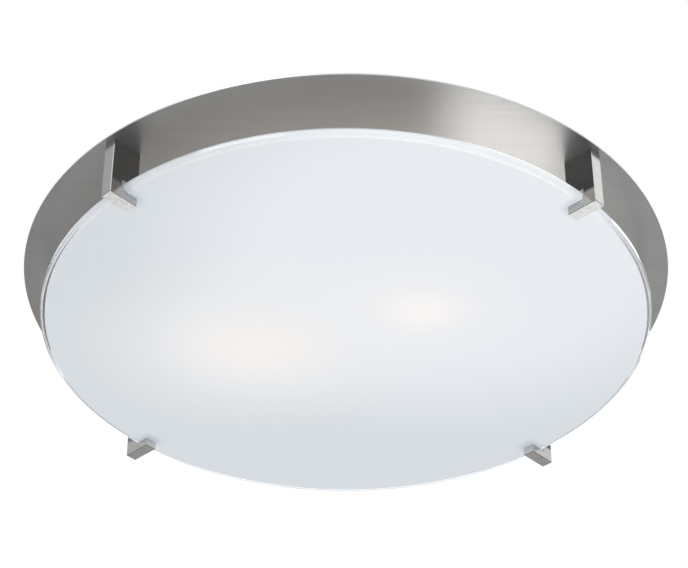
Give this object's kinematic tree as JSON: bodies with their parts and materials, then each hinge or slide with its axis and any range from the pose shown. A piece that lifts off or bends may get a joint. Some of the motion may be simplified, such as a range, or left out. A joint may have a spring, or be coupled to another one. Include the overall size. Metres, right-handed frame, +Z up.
{
  "type": "flush mount ceiling light",
  "caption": "Flush mount ceiling light: a wide brushed-nickel canopy with a flat frosted glass disc held below it by square sliding clips.",
  "frame": {"origin": "centre of the ceiling face of the crown, on the axis of the canopy and glass", "axes": "+Z up into the ceiling, so the light hangs in -Z; the lamps lie along X, -X is left and -Y is front"},
  "size_m": [0.4064, 0.4064, 0.0958],
  "materials": {
    "brushed_nickel": "linear brushed",
    "clip_nickel": "satin",
    "frosted_glass": "etched white with polished edge",
    "silicone": "translucent",
    "zinc_steel": "zinc plated",
    "nickel_hardware": "satin",
    "ground_green": "satin",
    "glass_fibre": "matt felt",
    "nylon": "matt",
    "white_steel": "satin white",
    "rivet_aluminium": "plain",
    "porcelain": "glazed",
    "socket_brass": "plain",
    "lead_black": "insulation",
    "lead_white": "insulation",
    "opal_bulb": "frosted",
    "bulb_base": "plain",
    "bulb_insulator": "black",
    "solder": "dull",
    "clear_glass": "clear",
    "tungsten": "dull"
  },
  "bodies": {
    "fixture": {"canopy": "brushed_nickel", "glass_disc": "frosted_glass", "crossbar": "zinc_steel", "canopy_studs": "zinc_steel", "stud_locknuts": "zinc_steel", "canopy_nuts": "nickel_hardware", "ground_screw": "ground_green", "insulation_pad": "glass_fibre", "wire_bushing": "nylon", "lamp_bracket": "white_steel", "bracket_rivets": "rivet_aluminium", "socket_body_left": "porcelain", "screw_shell_left": "socket_brass", "centre_contact_left": "socket_brass", "socket_screws_left": "zinc_steel", "lead_line_left": "lead_black", "lead_neutral_left": "lead_white", "socket_body_right": "porcelain", "screw_shell_right": "socket_brass", "centre_contact_right": "socket_brass", "socket_screws_right": "zinc_steel", "lead_line_right": "lead_black", "lead_neutral_right": "lead_white"},
    "lamp_left": {"lamp_envelope_left": "opal_bulb", "lamp_base_left": "bulb_base", "lamp_insulator_left": "bulb_insulator", "lamp_contact_left": "solder", "lamp_stem_left": "clear_glass", "lamp_filament_left": "tungsten"},
    "lamp_right": {"lamp_envelope_right": "opal_bulb", "lamp_base_right": "bulb_base", "lamp_insulator_right": "bulb_insulator", "lamp_contact_right": "solder", "lamp_stem_right": "clear_glass", "lamp_filament_right": "tungsten"},
    "clip_front_left": {"clip_front_left": "clip_nickel", "clip_stud_front_left": "zinc_steel", "clip_washer_front_left": "zinc_steel", "glass_pad_front_left": "silicone"},
    "thumb_nut_front_left": {"thumb_nut_front_left": "nickel_hardware"},
    "clip_front_right": {"clip_front_right": "clip_nickel", "clip_stud_front_right": "zinc_steel", "clip_washer_front_right": "zinc_steel", "glass_pad_front_right": "silicone"},
    "thumb_nut_front_right": {"thumb_nut_front_right": "nickel_hardware"},
    "clip_back_right": {"clip_back_right": "clip_nickel", "clip_stud_back_right": "zinc_steel", "clip_washer_back_right": "zinc_steel", "glass_pad_back_right": "silicone"},
    "thumb_nut_back_right": {"thumb_nut_back_right": "nickel_hardware"},
    "clip_back_left": {"clip_back_left": "clip_nickel", "clip_stud_back_left": "zinc_steel", "clip_washer_back_left": "zinc_steel", "glass_pad_back_left": "silicone"},
    "thumb_nut_back_left": {"thumb_nut_back_left": "nickel_hardware"}
  },
  "joints": [
    {"name": "lamp_left_out", "type": "slide", "parent": "fixture", "child": "lamp_left", "axis": [-1, 0, 0], "range_m": [0, 0.025]},
    {"name": "lamp_right_out", "type": "slide", "parent": "fixture", "child": "lamp_right", "axis": [1, 0, 0], "range_m": [0, 0.025]},
    {"name": "clip_front_left_slide", "type": "slide", "parent": "fixture", "child": "clip_front_left", "axis": [-0.7071, -0.7071, 0], "range_m": [0, 0.012]},
    {"name": "thumb_nut_front_left_turn", "type": "hinge", "parent": "clip_front_left", "child": "thumb_nut_front_left", "pos_m": [-0.13081, -0.13081, -0.05], "axis": [0, 0, 1], "range_deg": [0, 360]},
    {"name": "clip_front_right_slide", "type": "slide", "parent": "fixture", "child": "clip_front_right", "axis": [0.7071, -0.7071, 0], "range_m": [0, 0.012]},
    {"name": "thumb_nut_front_right_turn", "type": "hinge", "parent": "clip_front_right", "child": "thumb_nut_front_right", "pos_m": [0.13081, -0.13081, -0.05], "axis": [0, 0, 1], "range_deg": [0, 360]},
    {"name": "clip_back_right_slide", "type": "slide", "parent": "fixture", "child": "clip_back_right", "axis": [0.7071, 0.7071, 0], "range_m": [0, 0.012]},
    {"name": "thumb_nut_back_right_turn", "type": "hinge", "parent": "clip_back_right", "child": "thumb_nut_back_right", "pos_m": [0.13081, 0.13081, -0.05], "axis": [0, 0, 1], "range_deg": [0, 360]},
    {"name": "clip_back_left_slide", "type": "slide", "parent": "fixture", "child": "clip_back_left", "axis": [-0.7071, 0.7071, 0], "range_m": [0, 0.012]},
    {"name": "thumb_nut_back_left_turn", "type": "hinge", "parent": "clip_back_left", "child": "thumb_nut_back_left", "pos_m": [-0.13081, 0.13081, -0.05], "axis": [0, 0, 1], "range_deg": [0, 360]}
  ]
}
